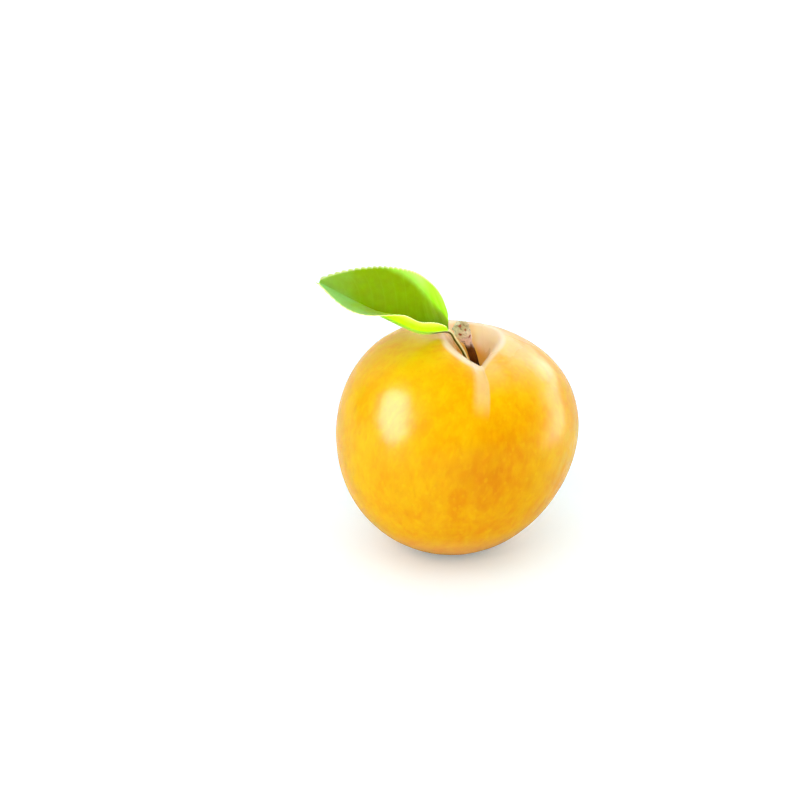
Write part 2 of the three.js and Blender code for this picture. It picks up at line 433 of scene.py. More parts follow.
def makePlumTree(sizes, material):
    tree, _, size = startShapeTree("plumShape", sizes)
    inputs = {"Segments": size["segments"], "Rings": size["rings"], "Radius": 1.0}
    sphere = addNode(tree, "GeometryNodeMeshUVSphere", inputs)
    x, y, z = splitXyz(tree, tree.nodes.new("GeometryNodeInputPosition").outputs[0])

    # rings lie closer together at the cavity, and columns at the crease
    ring = z.atMost(1.0).atLeast(-1.0).arccos() / math.pi
    angle = math.pi * (0.55 * ring ** 1.6 + 0.45 * ring)
    column = y.arctan2(x)
    turn = size["creaseTurn"] + column - 0.5 * column.sin()
    up = angle.cos()
    out = angle.sin()

    flatter = size["taper"] * (2.5 * up ** 3 - 1.5 * up)
    squarer = size["squareness"] * (35 * up ** 4 - 30 * up ** 2 + 3) / 8
    oval = size["ovalShare"] * out ** 2 * (2 * (turn - size["ovalTurn"])).cos()
    skew = size["skewShare"] * out ** 2 * up * (turn - size["skewTurn"]).cos()
    radius = size["radius"] * (1 - flatter - squarer + oval + skew)

    # the crease is a fine groove in a soft valley, deep on the shoulder and a mere trace below
    fromCrease = turn - size["creaseTurn"]
    degrees = angle * (180 / math.pi)
    aside = size["creaseAside"] - size["creaseBend"] * degrees.smooth(18, 42, 1.0, 0.0)
    across = radius * out * fromCrease.sin() - aside
    facing = fromCrease.cos().atLeast(0).sqrt()
    rounded = (across.squared() + size["creaseRounding"].squared()).sqrt() - size["creaseRounding"]
    grooveWidth = size["creaseLeft"] + (size["creaseRight"] - size["creaseLeft"]) * across.above(0)
    groove = (-rounded / grooveWidth).exp()
    valleyWidth = size["valleyLeft"] + (size["valleyRight"] - size["valleyLeft"]) * across.above(0)
    valley = (-((across / valleyWidth).squared())).exp()
    ends = degrees.smooth(0, 22) * degrees.smooth(145, 165, 1.0, 0.0)
    grooveShare = facing * groove * ends * degrees.smooth(30, 64, 1.0, 0.07)
    valleyShare = facing * valley * ends * degrees.smooth(24, 72, 1.0, 0.04)
    radius = radius - size["creaseDepth"] * grooveShare - size["valleyDepth"] * valleyShare

    direction = joinXyz(tree, out * turn.cos(), out * turn.sin(), up)
    swells = noiseOver(tree, direction, size["unevenScale"], detail=2)
    radius = radius + size["unevenness"] * (swells * 2 - 1)

    # the cavity at the stalk end and the dimple at the blossom end
    x, y, z = splitXyz(tree, moved(tree, direction, "SCALE", radius))
    acrossMouth = (x - size["mouthRight"]) / size["cavityWide"]
    alongMouth = (y - size["mouthBack"]) / size["cavityLong"]
    fromMouth = (acrossMouth.squared() + alongMouth.squared()) ** size["cavitySteepness"]
    dent = (-fromMouth).exp() * up.above(0)
    mouth = (acrossMouth.squared() + alongMouth.squared()).sqrt() + 9 * up.below(0)
    fromEnd = (x.squared() + y.squared()).sqrt() / size["blossomWidth"]
    dimple = (-fromEnd.squared()).exp() * up.below(0)
    z = z - size["cavityDepth"] * dent + size["blossomDepth"] * dimple
    upright = joinXyz(tree, x + size["slantRight"] * dent, y + size["slantBack"] * dent, z)

    # leaned over, raised to its resting height and pressed flat where it rests
    axisX = size["leanRight"].sin()
    axisY = size["leanBack"].sin()
    axisZ = (1 - axisX.squared() - axisY.squared()).sqrt()
    inputs = {"Vector": upright, "Axis": joinXyz(tree, -axisY, axisX, 0), "Angle": axisZ.arccos()}
    leaned = addNode(tree, "ShaderNodeVectorRotate", inputs, rotation_type="AXIS_ANGLE")
    x, y, z = splitXyz(tree, leaned.outputs[0])
    place = joinXyz(tree, x, y, (z + size["restingHeight"]).atLeast(0))

    geometry = storeOn(tree, sphere.outputs["Mesh"], "mouth", mouth)
    geometry = storeOn(tree, geometry, "across", across / size["radius"])
    geometry = storeOn(tree, geometry, "besideCrease", facing * ends * degrees.smooth(48, 62, 1.0, 0.0))
    geometry = storeOn(tree, geometry, "shoulder", degrees.smooth(16, 50, 1.0, 0.0))
    geometry = storeOn(tree, geometry, "blossom", degrees.smooth(160, 178))
    geometry = storeOn(tree, geometry, "grown", direction, "FLOAT_VECTOR")
    inputs = {"Geometry": geometry, "Position": place}
    geometry = addNode(tree, "GeometryNodeSetPosition", inputs).outputs[0]
    endShapeTree(tree, geometry, material)
    return tree


def makePlumSkin(look):
    settings = {"IOR": 1.42, "Specular IOR Level": 0.25, "Subsurface Weight": 0.22,
                "Subsurface Radius": (1.0, 0.42, 0.08), "Subsurface Scale": 3.5 * mm}
    material, tree, shader = startMaterial("plumSkin", **settings)
    grown = attributeOf(tree, "grown").outputs["Vector"]
    mouth = numberOf(tree, "mouth")
    across = numberOf(tree, "across")

    # yellow, deeper orange below the crease, with paler patches and fine flecks along the fruit
    sideways, depth, upwards = splitXyz(tree, grown)
    cloud = noiseOver(tree, grown, look["cloudScale"], detail=3)
    front = depth.smooth(0.1, -0.5)
    width = look["orangeWidth"] + 0.25 * upwards.smooth(0.2, -0.3)
    streak = (-((sideways - look["orangeSide"]) / width).squared()).exp()
    deep = streak * front * upwards.smooth(0.86, 0.08) * upwards.smooth(-0.6, 0.1, 0.5, 0.87)
    deep = deep + (1 - front) * upwards.smooth(0.1, -0.9) * 0.4
    deep = (deep + (cloud - 0.5) * 0.28).atLeast(0)
    color = blended(tree, deep, look["yellow"], look["orange"])

    def drawnOut(share):
        # the fruit's directions with everything longer from the stalk to the blossom end
        return moved(tree, grown, "MULTIPLY", (1.0, 1.0, share))

    patches = mottleOver(tree, drawnOut(0.75), look["patchScale"], 0.4, 0.3)
    lemon = sideways.smooth(-0.15, -0.7) * upwards.smooth(-0.1, 0.4) * 0.1
    color = blended(tree, patches * (1 - deep * 0.9) * 0.5 + lemon, color, look["pale"])
    blots = mottleOver(tree, drawnOut(0.6), look["blotScale"], 0.4, 0.3)
    color = blended(tree, blots * (1 - deep * 0.75) * 0.45, color, look["pale"])
    flecks = specksOver(tree, drawnOut(0.7), look["fleckScale"], 0.34, 0.7)
    color = blended(tree, flecks * 0.22, color, look["fleck"])
    streaks = noiseOver(tree, drawnOut(0.35), look["streakScale"], detail=3)
    color = blended(tree, streaks.smooth(0.5, 0.75) * (1 - deep * 0.6) * 0.35, color, look["pale"])
    color = blended(tree, streaks.smooth(0.45, 0.25) * 0.2, color, look["orange"])

    # painted warm floor light underneath, in peach, and brownish at the blossom end
    height = splitXyz(tree, addNode(tree, "ShaderNodeTexCoord").outputs["Object"])[2]
    # painted: warm light bounced and reflected from the floor, deepest near the bottom
    low = height.smooth(look["paintedBounceFrom"], look["paintedBounceFull"])
    color = blended(tree, low * 0.7, color, look["paintedFloorBounce"])
    color = blended(tree, numberOf(tree, "blossom") * 0.6, color, look["blossom"])

    # waxy cream bloom round the cavity's mouth with a painted sheen of the light from above and behind
    # laid over it, and a golden brown cavity that darkens to its floor in painted shade
    # partly the skin's own waxy bloom, partly painted sheen of the light from above and behind
    bloomAndSheen = sideways.smooth(-0.12, 0.12, 0.1, 1.0) * sideways.smooth(0.5, 0.8, 1.0, 0.4)
    patchy = mottleOver(tree, drawnOut(0.75), look["waxScale"], 0.8, 0.5)
    bloomAndSheen = bloomAndSheen * patchy.atLeast(depth.smooth(0.0, 0.15))
    bloomAndSheen = bloomAndSheen * numberOf(tree, "shoulder")
    # painted sheen: a cream band on the broad left bank of the crease
    creaseSheen = across.smooth(-0.17, -0.09) * across.smooth(-0.006, 0.012, 1.0, 0.0)
    creaseSheen = creaseSheen * numberOf(tree, "besideCrease")
    # painted rim reflection: patchy cream on the right edge
    rightRimSheen = sideways.smooth(0.8, 1.0) * blots * 0.25
    cream = (bloomAndSheen * 0.6 + creaseSheen * 0.42 + rightRimSheen).atMost(0.85)
    color = blended(tree, cream, color, look["cream"])
    # painted highlight: pale cream along the cavity's front lips
    lipHighlight = (mouth + sideways.smooth(0.0, 0.08) * 0.15).smooth(1.82, 2.05, 1.0, 0.0)
    lipHighlight = lipHighlight * sideways.smooth(-0.37, -0.29) * depth.smooth(0.12, -0.1, 0.75, 0.87)
    color = blended(tree, lipHighlight, color, look["paintedLipHighlight"])
    leftWall = mouth.smooth(1.35, 1.6, 1.0, 0.0) * sideways.smooth(0.0, -0.12) * 0.6
    color = blended(tree, mouth.smooth(0.62, 0.96, 1.0, 0.0) + leftWall, color, look["cavityGold"])
    # painted shade: dark olive deep in the cavity, towards its floor
    color = blended(tree, mouth.smooth(0.2, 0.55, 1.0, 0.0) * 0.85, color, look["cavityFloorShade"])
    feed(tree, shader.inputs["Base Color"], color)

    duller = look["waxRoughness"] - look["roughness"]
    roughness = look["roughness"] + duller * cream + (cloud - 0.5) * 0.06
    feed(tree, shader.inputs["Roughness"], roughness)
    pores = specksOver(tree, grown, look["poreScale"], 0.3, 0.6)
    grain = noiseOver(tree, grown, look["grainScale"], detail=3)
    addBump(tree, shader, grain * 0.5 - pores * 0.5, look["poreDepth"])
    return material


plumSkin = makePlumSkin(skinLook)
plumTree = makePlumTree(plumShape, plumSkin)
plumFruit = growPiece("plumFruit", plumTree, plumShape, bpy.data.meshes.new("plumStart"))
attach(plumFruit, "root")
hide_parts("fruit")
print("fruit done")


# The woody stalk: slim in the cavity, with a knobby, scaly head.
def aboveRest(points):
    # places measured in millimetres from the fruit's middle, in metres from the resting spot
    return np.array(points, float) * mm + np.array((0, 0, restingHeight))


stalkRoute = aboveRest([
    (4.5, 1.7, 15.9), (3.5, 1.3, 20.0), (2.4, 0.9, 23.0), (1.3, 0.4, 25.6), (0.6, 0.1, 27.5),
])

stalkShape = {
    "steps": 150,
    "sides": 72,
    "slimRadius": 0.88 * mm,
    "headRadius": 1.74 * mm,
    "headStart": 0.5,
    "headFull": 0.84,
    "wornFrom": 0.88,
    "wornShare": 0.45,
    "scales": 0.09,
    "bark": 0.16 * mm,
    "barkScale": 900.0,
    "ridge": 0.05 * mm,
    "ridgeWaver": 260.0,
    "knobsFrom": 0.62,
    "knobDensity": 9e5,  # to the square metre
    "knobSize": 0.42 * mm,
    "seed": 4,
}

stalkLook = {
    "cream": rgb(240, 222, 184),
    "greenCream": rgb(240, 244, 204),
    "tan": rgb(186, 166, 100),
    "pink": rgb(243, 208, 190),
    "woodBrownInShade": rgb(104, 56, 14),
    "darkBrownCracksAndShade": rgb(62, 30, 4),
    "redBrown": rgb(168, 66, 34),
    "greyGreen": rgb(156, 150, 104),
    "roughness": 0.75,
    "wobbleScale": 700.0,
    "wornScale": 520.0,
    "lichenScale": 900.0,
    "spotScale": 640.0,
    "crackScale": 1300.0,
    "grainScale": 2600.0,
    "grainDepth": 0.12 * mm,
}


def makeTube(tree, route, radius, steps, sides, tilt=0.0):
    # a closed tube along the route, which keeps its share of the length and its place round the section
    curve = addNode(tree, "GeometryNodeMeshToCurve", {"Mesh": route}).outputs[0]
    curve = addNode(tree, "GeometryNodeResampleCurve", {"Curve": curve, "Count": steps}).outputs[0]
    curve = addNode(tree, "GeometryNodeSetCurveTilt", {"Curve": curve, "Tilt": tilt}).outputs[0]
    share = Field(tree, tree.nodes.new("GeometryNodeSplineParameter").outputs["Factor"])
    curve = storeOn(tree, curve, "along", share)
    inputs = {"Resolution": sides, "Radius": 1.0}
    circle = addNode(tree, "GeometryNodeCurvePrimitiveCircle", inputs).outputs[0]
    spot = tree.nodes.new("GeometryNodeInputPosition").outputs[0]
    circle = storeOn(tree, circle, "section", spot, "FLOAT_VECTOR")
    inputs = {"Curve": curve, "Profile Curve": circle, "Scale": radius(share), "Fill Caps": True}
    return addNode(tree, "GeometryNodeCurveToMesh", inputs).outputs[0]


def stored(tree, name, kind="FLOAT"):
    node = addNode(tree, "GeometryNodeInputNamedAttribute", {"Name": name}, data_type=kind)
    return Field(tree, node.outputs[0])


def raised(tree, geometry, height):
    # moves each point along its normal
    normal = tree.nodes.new("GeometryNodeInputNormal").outputs[0]
    offset = moved(tree, normal, "SCALE", height)
    return addNode(tree, "GeometryNodeSetPosition", {"Geometry": geometry, "Offset": offset}).outputs[0]


def makeStalkTree(sizes, material):
    tree, route, size = startShapeTree("stalkShape", sizes)

    def headShare(share):
        return share.smooth(size["headStart"], size["headFull"])

    def radius(share):
        worn = 1 - size["wornShare"] * share.smooth(size["wornFrom"], 1.0).squared()
        foot = 1 + 0.12 * share.smooth(0.0, 0.12, 1.0, 0.0)
        full = size["slimRadius"] + (size["headRadius"] - size["slimRadius"]) * headShare(share)
        return full * worn * foot

    tube = makeTube(tree, route, radius, size["steps"], size["sides"])
    along = stored(tree, "along")
    sectionX, sectionY, _ = splitXyz(tree, stored(tree, "section", "FLOAT_VECTOR"))
    turn = sectionY.arctan2(sectionX)
    head = headShare(along)
    scaly = (3 * turn + 20 * along).sin() + 0.7 * (5 * turn - 31 * along).sin()
    place = tree.nodes.new("GeometryNodeInputPosition").outputs[0]
    bark = noiseOver(tree, place, size["barkScale"], detail=4, roughness=0.6)
    ridges = (9 * turn + 14 * noiseOver(tree, place, size["ridgeWaver"])).sin()
    inside = along.smooth(0.0, 0.02) * along.smooth(0.985, 1.0, 1.0, 0.0)
    height = size["headRadius"] * size["scales"] * head * scaly * 0.8
    rough = size["bark"] * (bark - 0.5) * (0.5 + 1.5 * head)
    height = height + rough + size["ridge"] * ridges * (1 - head * 0.6)
    geometry = raised(tree, tube, height * inside)

    # small worn bud scales all round the head
    inputs = {"Mesh": geometry, "Selection": along.above(size["knobsFrom"]),
              "Density": size["knobDensity"], "Seed": size["seed"]}
    points = addNode(tree, "GeometryNodeDistributePointsOnFaces", inputs, distribute_method="RANDOM")
    inputs = {"Radius": size["knobSize"], "Subdivisions": 2}
    knob = addNode(tree, "GeometryNodeMeshIcoSphere", inputs).outputs[0]
    inputs = {"Geometry": knob, "Scale": (1.0, 0.75, 0.45)}
    knob = addNode(tree, "GeometryNodeTransform", inputs).outputs[0]
    lowest, highest = 2, 3  # the node's slots for plain numbers
    inputs = {lowest: 0.5, highest: 1.15, "Seed": size["seed"]}
    draw = addNode(tree, "FunctionNodeRandomValue", inputs)
    inputs = {"Points": points.outputs["Points"], "Instance": knob, "Rotation": points.outputs["Rotation"]}
    scales = addNode(tree, "GeometryNodeInstanceOnPoints", inputs)
    tree.links.new(next(socket for socket in draw.outputs if socket.enabled), scales.inputs["Scale"])
    joined = tree.nodes.new("GeometryNodeJoinGeometry")
    tree.links.new(geometry, joined.inputs[0])
    tree.links.new(scales.outputs[0], joined.inputs[0])
    endShapeTree(tree, joined.outputs[0], material)
    return tree


def makeStalkWood(look):
    material, tree, shader = startMaterial("stalkWood", **{"Roughness": look["roughness"], "IOR": 1.4})
    place = addNode(tree, "ShaderNodeTexCoord").outputs["Object"]
    x, y, z = splitXyz(tree, place)
    wobble = noiseOver(tree, place, look["wobbleScale"], detail=3) - 0.5

    # brown in the cavity, the wood's own brown darkened there as painted shade, pinkish at the neck and
    # pale at the head, which is greener on its left
    up = (z - restingHeight) / mm + wobble * 2.4
    color = blended(tree, up.smooth(21.2, 22.6), look["woodBrownInShade"], look["pink"])
    # painted shade: darkest brown deepest in the cavity
    color = blended(tree, up.smooth(16.5, 20.0, 1.0, 0.0), color, look["darkBrownCracksAndShade"])
    color = blended(tree, up.smooth(24.0, 25.2), color, look["cream"])
    left = (x / mm + wobble * 1.5).smooth(1.3, -0.6)
    color = blended(tree, up.smooth(23.4, 24.8) * left, color, look["greenCream"])
    worn = up.smooth(25.4, 27.0) * mottleOver(tree, place, look["wornScale"], 0.75, 0.3)
    color = blended(tree, worn * 0.8, color, look["tan"])
    head = up.smooth(23.4, 24.6)
    lichen = mottleOver(tree, place, look["lichenScale"], 0.3, 0.2)
    color = blended(tree, lichen * head * 0.35, color, look["greyGreen"])
    spots = specksOver(tree, place, look["spotScale"], 0.4, 0.8)
    color = blended(tree, spots * head * 0.9, color, look["redBrown"])
    # dark cracks in the bark, in the same brown as the painted shade
    cracks = mottleOver(tree, place, look["crackScale"], 0.1, 0.14)
    color = blended(tree, cracks * 0.5, color, look["darkBrownCracksAndShade"])
    feed(tree, shader.inputs["Base Color"], color)
    grain = noiseOver(tree, place, look["grainScale"], detail=4, roughness=0.65)
    addBump(tree, shader, grain - spots * 0.4, look["grainDepth"])
    return material


stalkWood = makeStalkWood(stalkLook)
stalkTree = makeStalkTree(stalkShape, stalkWood)
stalkLine = routeMesh("stalkLine", smoothRoute(stalkRoute, np.linspace(0, 1, 60)))
woodyStalk = growPiece("woodyStalk", stalkTree, stalkShape, stalkLine)
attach(woodyStalk, "root")
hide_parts("stalk")
print("stalk done")


# The leaf: a blade folded along its midrib, and a rod for the leaf-stalk and the midrib.
leafStalkRoute = aboveRest([(2.75, 0.0, 17.6), (1.3, -0.6, 21.2), (-0.25, -1.35, 24.0)])
midribRoute = aboveRest([
    (-1.6, -2.0, 26.7), (-7.8, -5.2, 27.9), (-14.6, -5.8, 31.1), (-22.2, -4.6, 34.7), (-31.0, -3.0, 38.9),
])

bladeShape = {
    "start": 0.012,
    "end": 0.985,
    "halfWidth": 11.7 * mm,
    "thickness": 0.3 * mm,
    "marginThickness": 0.12 * mm,
    "farFold": (64, 56),  # degrees that the half away from the front rises, at the base and at the tip
    "nearFold": (31, -4),
    "farBulge": 0.3,
    "nearBulge": 0.1,
    "baseSweep": 0.42,  # how far the margin runs ahead of the midrib at the base
    "tipSweep": -0.02,
    "teeth": 30,
    "toothDepth": 0.25 * mm,
    "toothLean": 0.7,
    "rowsPerTooth": 12,
    "columns": 36,  # across each half
    "veins": 11,
    "veinSweep": 0.26,  # how far a side vein runs towards the tip before it reaches the margin
    "veinWidth": 0.0042,
    "veinDepth": 0.04 * mm,
    "quilting": 0.06 * mm,
}

midribShape = {
    "steps": 220,
    "sides": 28,
    "stalkRadius": 0.5 * mm,
    "tipRadius": 0.13 * mm,
    "grooveDepth": 0.24 * mm,
    "grooveWidth": 0.42,
    "unevenness": 0.035 * mm,
    "unevenScale": 420.0,
}
midribSink = 0.35 * mm
leafStalkLeft = (-0.8, -0.25, -0.55)  # square to the leaf-stalk, on its left

leafLook = {
    "green": rgb(140, 168, 0),
    "foldShadeGreen": rgb(104, 148, 0),
    "brightGreenAndSheen": rgb(168, 246, 14),
    "mintSheen": rgb(205, 255, 140),
    "paintedSkyBlue": rgb(146, 216, 124),
    "lime": rgb(166, 255, 0),
    "limePale": rgb(206, 255, 84),
    "paintedGlow": 0.85,  # how strongly the blade is painted to glow, standing in for light that comes through it
    "margin": rgb(246, 246, 176),
    "vein": rgb(172, 204, 70),
    "stalkShadeOlive": rgb(92, 88, 8),
    "stalkCream": rgb(246, 236, 170),
    "roughness": 0.38,
    "unevenScale": 160.0,
    "fineScale": 620.0,
    "cellScale": 2200.0,
    "cellDepth": 0.03 * mm,
    "streakScale": 900.0,
    "streakDepth": 0.08 * mm,
}


def softStep(value, start, end):
    share = np.clip((value - start) / (end - start), 0, 1)
    return share * share * (3 - 2 * share)


def between(pair, share):
    return pair[0] + (pair[1] - pair[0]) * share


def bladeAxes():
    along = midribRoute[-1] - midribRoute[0]
    along /= np.linalg.norm(along)
    away = np.array((0.0, 1.0, 0.0))
    away -= along * (along @ away)
    away /= np.linalg.norm(away)
    up = np.cross(along, away)
    return along, away, up if up[2] > 0 else -up


def rising(angle):
    # the direction at an angle from away towards up
    _, away, up = bladeAxes()
    return away * np.cos(angle)[..., None] + up * np.sin(angle)[..., None]


def foldAngles(shape, share):
    far = between(shape["farFold"], softStep(share, 0.3, 1))
    near = 180 - between(shape["nearFold"], softStep(share, 0.45, 0.9))
    return np.radians(far), np.radians(near)


def toothAt(shape, share):
    # rounded teeth that lean towards the tip
    place = (share - shape["start"]) / (shape["end"] - shape["start"]) * shape["teeth"]
    phase = place - np.floor(place)
    lean = shape["toothLean"]
    rise = np.sin(np.clip(phase / lean, 0, 1) * math.pi / 2) ** 1.3
    fall = np.cos(np.clip((phase - lean) / (1 - lean), 0, 1) * math.pi / 2) ** 0.8
    return shape["toothDepth"] * rise * fall


def veinMask(shape, share, reach):
    # side veins leave the midrib at even steps and bend towards the tip; some way out they fork
    phase = (share - shape["veinSweep"] * reach**1.25 * (1 - 0.45 * share)) * shape["veins"]
    offVein = np.abs(phase - np.round(phase)) / shape["veins"]
    width = shape["veinWidth"] * (1.15 - 0.75 * reach)
    vein = np.exp(-((offVein / width) ** 2)) * softStep(reach, 0.0, 0.05) * softStep(reach, 1.0, 0.86)
    quilt = np.cos(2 * math.pi * phase) * softStep(reach, 0.0, 0.2) * softStep(reach, 1.0, 0.7)
    return vein, quilt


def bladeSheet(shape, share, side):
    # the blade's middle surface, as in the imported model, with finer teeth
    along, _, _ = bladeAxes()
    far, near = foldAngles(shape, share)
    isFar = side > 0
    angle = np.where(isFar, far, near)
    upper = rising(angle + np.where(isFar, 1, -1) * math.pi / 2)
    reach = np.abs(side)
    width = shape["halfWidth"] * np.sin(math.pi * share**0.75) ** (0.5 + 0.3 * share**2)
    sweep = between((shape["baseSweep"], shape["tipSweep"]), softStep(share, 0, 0.55))
    tooth = toothAt(shape, share) * softStep(reach, 0.9, 1.0)
    bulge = np.where(isFar, shape["farBulge"], shape["nearBulge"]) * width * (reach - reach**2)
    outward = rising(angle) * (reach * width + tooth)[..., None]
    ahead = along * (sweep * reach * width + tooth)[..., None]
    middle = smoothRoute(midribRoute, share.ravel()).reshape(share.shape + (3,))
    return middle + outward + ahead + upper * bulge[..., None]


def makeBladeMesh(shape):
    rows = shape["teeth"] * shape["rowsPerTooth"] + 1
    half = shape["columns"]
    sides = np.linspace(-1, 1, 2 * half + 1)
    sides = np.sign(sides) * (1 - (1 - np.abs(sides)) ** 1.25)  # closer together at the margin
    share, side = np.meshgrid(np.linspace(shape["start"], shape["end"], rows), sides, indexing="ij")
    reach = np.abs(side)
    sheet = bladeSheet(shape, share, side)
    vein, quilt = veinMask(shape, share, reach)

    downRows = np.gradient(sheet, axis=0)
    acrossRows = np.gradient(sheet, axis=1)
    normal = np.cross(acrossRows, downRows)
    normal /= np.linalg.norm(normal, axis=-1)[..., None]
    if (normal @ bladeAxes()[2]).mean() < 0:
        normal = -normal
    far, near = foldAngles(shape, share[:, half])
    fold = rising((far + near) / 2)
    atFold = softStep(reach, 0.06, 0.0)[..., None]
    normal = normal * (1 - atFold) + fold[:, None, :] * atFold

    thickness = between((shape["thickness"], shape["marginThickness"]), softStep(reach, 0.8, 1.0))
    swell = shape["quilting"] * quilt * 0.5
    upper = sheet + normal * (thickness / 2 + swell - shape["veinDepth"] * vein)[..., None]
    lower = sheet - normal * (thickness / 2 - swell + shape["veinDepth"] * vein * 1.4)[..., None]

    columns = sides.size
    count = share.size
    index = np.arange(count).reshape(rows, columns)
    a, b, c, d = index[:-1, :-1], index[:-1, 1:], index[1:, 1:], index[1:, :-1]
    faces = [np.stack([a, b, c, d], -1).reshape(-1, 4), np.stack([a, d, c, b], -1).reshape(-1, 4) + count]
    rim = np.concatenate([index[0], index[1:, -1], index[-1, -2::-1], index[-2:0:-1, 0]])
    following = np.roll(rim, -1)
    faces.append(np.stack([rim, rim + count, following + count, following], -1))
    vertices = np.concatenate([upper.reshape(-1, 3), lower.reshape(-1, 3)])
    mesh = bpy.data.meshes.new("leafBlade")
    mesh.from_pydata(vertices.tolist(), [], np.concatenate(faces).tolist())
    mesh.polygons.foreach_set("use_smooth", [True] * len(mesh.polygons))
    inset = (1 - reach) * shape["halfWidth"] * np.sin(math.pi * share**0.75) ** (0.5 + 0.3 * share**2)
    values = {"share": share, "side": side, "vein": vein, "inset": inset}
    for name, value in values.items():
        layer = mesh.attributes.new(name, "FLOAT", "POINT")
        layer.data.foreach_set("value", np.tile(value.ravel(), 2))
    under = mesh.attributes.new("under", "FLOAT", "POINT")
    under.data.foreach_set("value", np.repeat((0.0, 1.0), count))
    return mesh


def makeLeafGreen(look):
    settings = {"IOR": 1.4, "Specular IOR Level": 0.2, "Subsurface Weight": 0.7,
                "Subsurface Radius": (0.5, 1.0, 0.1), "Subsurface Scale": 0.5 * mm,
                "Emission Strength": look["paintedGlow"]}
    material, tree, shader = startMaterial("leafGreen", **settings)
    place = addNode(tree, "ShaderNodeTexCoord").outputs["Object"]
    share = numberOf(tree, "share")
    side = numberOf(tree, "side")
    under = numberOf(tree, "under")
    reach = side.absolute()
    uneven = noiseOver(tree, place, look["unevenScale"], detail=3) - 0.5
    fine = noiseOver(tree, place, look["fineScale"], detail=3) - 0.5

    # above: deep green at the fold near the base, a painted shade; bright green and mint inside the far
    # margin, a painted sheen; bluish towards the tip, a painted sky reflection
    # painted shade: darker green at the fold near the base
    deep = (share + uneven * 0.3).smooth(0.05, 0.5, 1.0, 0.0)
    deep = deep * (reach + uneven * 0.4).smooth(0.02, 0.5, 1.0, 0.0)
    above = blended(tree, deep, look["green"], look["foldShadeGreen"])
    # fine bright green mottles of the leaf's own; the same green also serves the painted sheen below
    above = blended(tree, (fine * 2 + 0.4).atLeast(0) * 0.18, above, look["brightGreenAndSheen"])
    # painted sky reflection: bluish towards the tip, stronger on the near half
    nearHalf = side.smooth(-0.3, 0.25, 1.0, 0.0)
    blue = (share + uneven * 0.35 + nearHalf * 0.2).smooth(0.74, 1.05) * (0.45 + nearHalf * 0.55)
    above = blended(tree, blue * 0.6, above, look["paintedSkyBlue"])
    # painted sheen: bright green and mint inside the far margin
    paintedSheen = (reach - share * 0.95 + uneven * 0.16).smooth(0.3, 0.6)
    above = blended(tree, paintedSheen * 0.9, above, look["brightGreenAndSheen"])
    above = blended(tree, paintedSheen * share.smooth(0.15, 0.45) * 0.6, above, look["mintSheen"])

    # below: lime where light comes through, paler towards the margin
    below = blended(tree, (reach + uneven * 0.3).smooth(0.3, 1.0) * 0.6, look["lime"], look["limePale"])
    color = blended(tree, under, above, below)
    color = blended(tree, numberOf(tree, "vein") * 0.12, color, look["vein"])
    margin = (numberOf(tree, "inset") + fine * 0.1 * mm).smooth(0.18 * mm, 0.42 * mm, 1.0, 0.0)
    color = blended(tree, margin * side.smooth(-0.1, 0.1, 0.85, 0.55), color, look["margin"])
    feed(tree, shader.inputs["Base Color"], color)
    # painted glow, for camera rays alone: it stands in for the faint light that comes through the blade,
    # strongest underneath, adds to the sheen inside the far margin and a little all over, and is left out
    # of what the leaf lights up
    paintedGlow = under * side.smooth(-0.05, 0.05, 1.0, 0.3) + paintedSheen * (1 - under) * 0.35
    isCamera = Field(tree, addNode(tree, "ShaderNodeLightPath").outputs["Is Camera Ray"])
    seen = (paintedGlow + 0.11).atMost(1.0) * isCamera
    feed(tree, shader.inputs["Emission Color"], moved(tree, color, "SCALE", seen))
    feed(tree, shader.inputs["Roughness"], look["roughness"] + uneven * 0.12 + under * 0.12)
    inputs = {"Vector": place, "Scale": look["cellScale"]}
    network = addNode(tree, "ShaderNodeTexVoronoi", inputs, feature="DISTANCE_TO_EDGE")
    cells = Field(tree, network.outputs["Distance"]).smooth(0.0, 0.12)
    addBump(tree, shader, cells * 0.4 + fine, look["cellDepth"])
    return material


def makeMidribTree(sizes, material):
    tree, route, size = startShapeTree("midribShape", sizes)

    def radius(share):
        slim = share.smooth(0.2, 1.0)
        return size["stalkRadius"] + (size["tipRadius"] - size["stalkRadius"]) * slim

    tube = makeTube(tree, route, radius, size["steps"], size["sides"])
    along = stored(tree, "along")
    sectionX, sectionY, _ = splitXyz(tree, stored(tree, "section", "FLOAT_VECTOR"))
    channel = (-(sectionX / size["grooveWidth"]).squared()).exp() * sectionY.above(0)
    place = tree.nodes.new("GeometryNodeInputPosition").outputs[0]
    uneven = noiseOver(tree, place, size["unevenScale"], detail=3) * 2 - 1
    ends = along.smooth(0.0, 0.01) * along.smooth(0.99, 1.0, 1.0, 0.0)
    depth = size["grooveDepth"] * channel * along.smooth(0.2, 0.34, 1.0, 0.0)
    inputs = {0: tree.nodes.new("GeometryNodeInputNormal").outputs[0], 1: leafStalkLeft}
    toLeft = addNode(tree, "ShaderNodeVectorMath", inputs, operation="DOT_PRODUCT")
    tube = storeOn(tree, tube, "toLeft", toLeft.outputs["Value"])
    geometry = raised(tree, tube, (size["unevenness"] * uneven - depth) * ends)
    endShapeTree(tree, geometry, material)
    return tree


